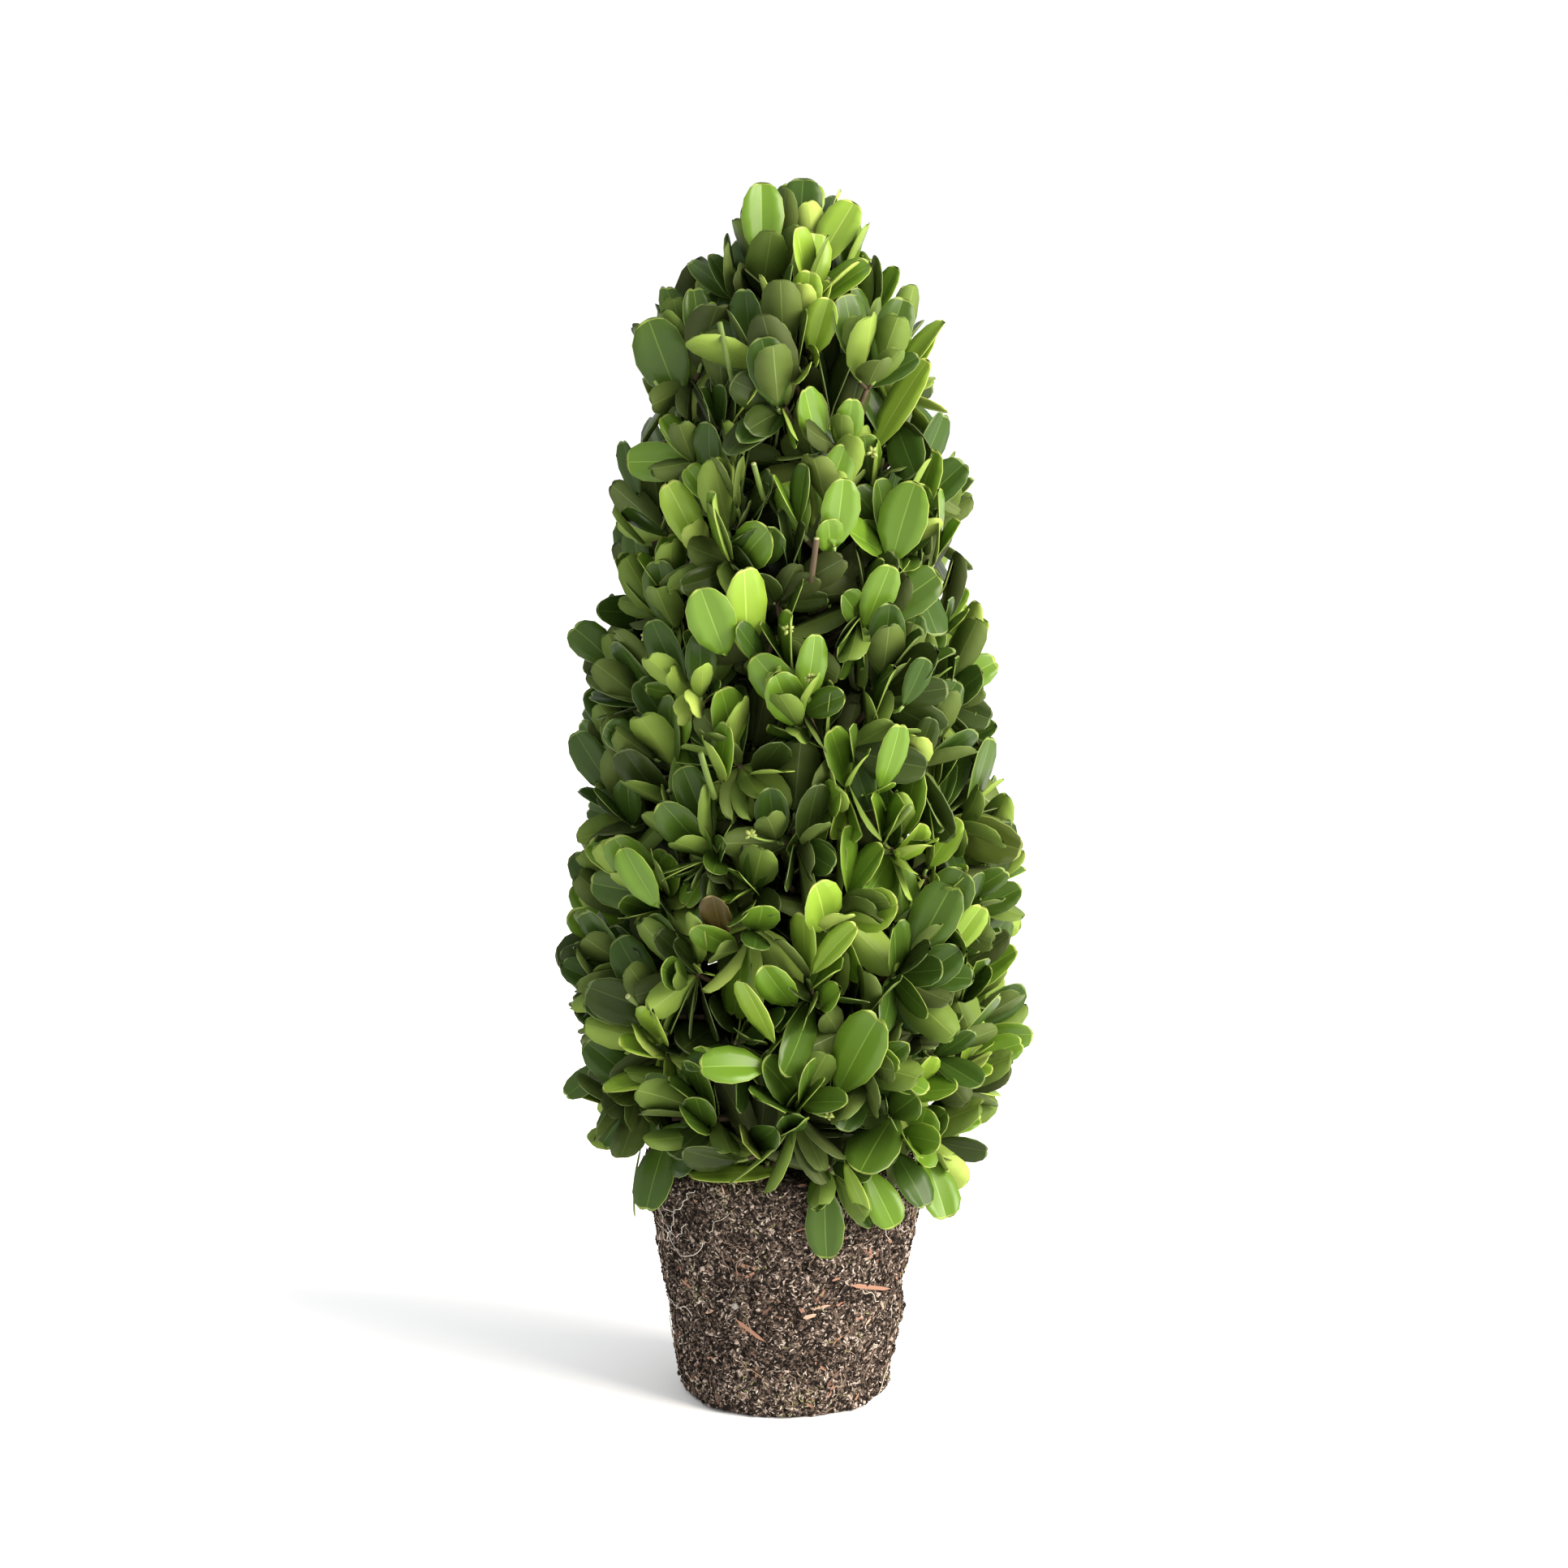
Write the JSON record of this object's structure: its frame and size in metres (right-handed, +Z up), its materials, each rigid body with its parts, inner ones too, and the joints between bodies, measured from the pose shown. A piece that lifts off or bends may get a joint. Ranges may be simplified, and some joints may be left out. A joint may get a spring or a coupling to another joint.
{
  "type": "boxwood cone topiary",
  "caption": "Small boxwood clipped to a blunt cone: dense leafy masses on short boughs round a main stem, standing on its bare, pot-shaped root ball.",
  "frame": {"origin": "middle of the root ball's flat underside, which stands on the ground", "axes": "+Z up along the main stem; -Y is the front"},
  "size_m": [0.1536, 0.1471, 0.4051],
  "materials": {
    "soil": "matt, crumbly",
    "bark": "matt",
    "leaf": "satin"
  },
  "bodies": {
    "root": {"root_ball": "soil", "main_stem": "bark", "bough_skirt_1": "bark", "foliage_skirt_1": "leaf", "bough_skirt_2": "bark", "foliage_skirt_2": "leaf", "bough_skirt_3": "bark", "foliage_skirt_3": "leaf", "bough_skirt_4": "bark", "foliage_skirt_4": "leaf", "bough_skirt_5": "bark", "foliage_skirt_5": "leaf", "bough_lower_1": "bark", "foliage_lower_1": "leaf", "bough_lower_2": "bark", "foliage_lower_2": "leaf", "bough_lower_3": "bark", "foliage_lower_3": "leaf", "bough_lower_4": "bark", "foliage_lower_4": "leaf", "bough_lower_5": "bark", "foliage_lower_5": "leaf", "bough_middle_1": "bark", "foliage_middle_1": "leaf", "bough_middle_2": "bark", "foliage_middle_2": "leaf", "bough_middle_3": "bark", "foliage_middle_3": "leaf", "bough_middle_4": "bark", "foliage_middle_4": "leaf", "bough_middle_5": "bark", "foliage_middle_5": "leaf", "bough_upper_1": "bark", "foliage_upper_1": "leaf", "bough_upper_2": "bark", "foliage_upper_2": "leaf", "bough_upper_3": "bark", "foliage_upper_3": "leaf", "bough_upper_4": "bark", "foliage_upper_4": "leaf", "bough_upper_5": "bark", "foliage_upper_5": "leaf", "bough_shoulder_1": "bark", "foliage_shoulder_1": "leaf", "bough_shoulder_2": "bark", "foliage_shoulder_2": "leaf", "bough_shoulder_3": "bark", "foliage_shoulder_3": "leaf", "bough_shoulder_4": "bark", "foliage_shoulder_4": "leaf", "bough_neck_1": "bark", "foliage_neck_1": "leaf", "bough_neck_2": "bark", "foliage_neck_2": "leaf", "bough_neck_3": "bark", "foliage_neck_3": "leaf", "foliage_leader": "leaf"}
  },
  "joints": []
}
